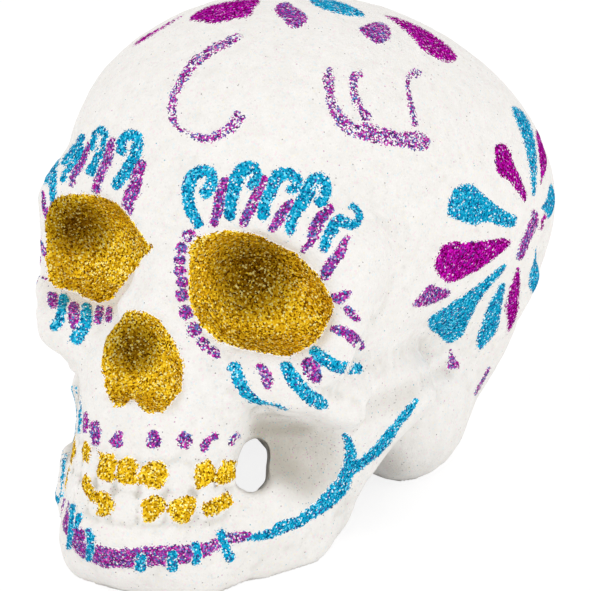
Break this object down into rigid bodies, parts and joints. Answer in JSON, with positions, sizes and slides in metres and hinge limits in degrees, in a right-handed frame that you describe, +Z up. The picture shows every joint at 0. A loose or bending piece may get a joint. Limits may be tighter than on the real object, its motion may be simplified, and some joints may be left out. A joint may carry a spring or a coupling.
{
  "type": "sugar skull decoration",
  "caption": "Life-size hollow foam skull that stands on its jaw and base, painted with glitter: gold eye sockets, nose and teeth, petals, swirls and a jaw line.",
  "frame": {"origin": "on the surface it stands on, under the middle of its bounding box", "axes": "+Z up, -Y the way the face looks, +X to the skull's own left"},
  "size_m": [0.1648, 0.2374, 0.1704],
  "materials": {
    "foam": "matte, fine beaded foam",
    "gold_glitter": "glitter",
    "cyan_glitter": "glitter",
    "magenta_glitter": "glitter",
    "violet_glitter": "glitter"
  },
  "bodies": {
    "root": {"crown_dot_left": "violet_glitter", "crown_dot_right": "violet_glitter", "crown_petal_front": "magenta_glitter", "crown_petal_left": "magenta_glitter", "crown_petal_middle": "cyan_glitter", "eye_gold_left": "gold_glitter", "eye_gold_right": "gold_glitter", "jaw_band": "violet_glitter", "jaw_line_branch_left": "cyan_glitter", "jaw_line_branch_right": "cyan_glitter", "jaw_line_left": "cyan_glitter", "jaw_line_right": "cyan_glitter", "nose_gold": "gold_glitter", "skull_left_shell": "foam", "skull_right_shell": "foam", "swirl_left": "violet_glitter", "swirl_right": "violet_glitter", "swirl_right_inner": "violet_glitter", "swirl_right_prong": "violet_glitter", "temple_petal_left_1": "cyan_glitter", "temple_petal_left_10": "magenta_glitter", "temple_petal_left_11": "violet_glitter", "temple_petal_left_12": "violet_glitter", "temple_petal_left_2": "magenta_glitter", "temple_petal_left_3": "cyan_glitter", "temple_petal_left_4": "magenta_glitter", "temple_petal_left_5": "cyan_glitter", "temple_petal_left_6": "cyan_glitter", "temple_petal_left_7": "magenta_glitter", "temple_petal_left_8": "cyan_glitter", "temple_petal_left_9": "cyan_glitter", "temple_petal_right_1": "cyan_glitter", "temple_petal_right_10": "magenta_glitter", "temple_petal_right_11": "violet_glitter", "temple_petal_right_12": "violet_glitter", "temple_petal_right_2": "magenta_glitter", "temple_petal_right_3": "cyan_glitter", "temple_petal_right_4": "magenta_glitter", "temple_petal_right_5": "cyan_glitter", "temple_petal_right_6": "cyan_glitter", "temple_petal_right_7": "magenta_glitter", "temple_petal_right_8": "cyan_glitter", "temple_petal_right_9": "cyan_glitter", "tooth_gold_lower_left_2": "gold_glitter", "tooth_gold_lower_left_3": "gold_glitter", "tooth_gold_lower_left_4": "gold_glitter", "tooth_gold_lower_right_1": "gold_glitter", "tooth_gold_lower_right_2": "gold_glitter", "tooth_gold_lower_right_4": "gold_glitter", "tooth_gold_upper_left_1": "gold_glitter", "tooth_gold_upper_left_2": "gold_glitter", "tooth_gold_upper_left_4": "gold_glitter", "tooth_gold_upper_left_5": "gold_glitter", "tooth_gold_upper_right_1": "gold_glitter", "tooth_gold_upper_right_2": "gold_glitter", "tooth_gold_upper_right_4": "gold_glitter", "tooth_gold_upper_right_5": "gold_glitter"}
  },
  "joints": []
}
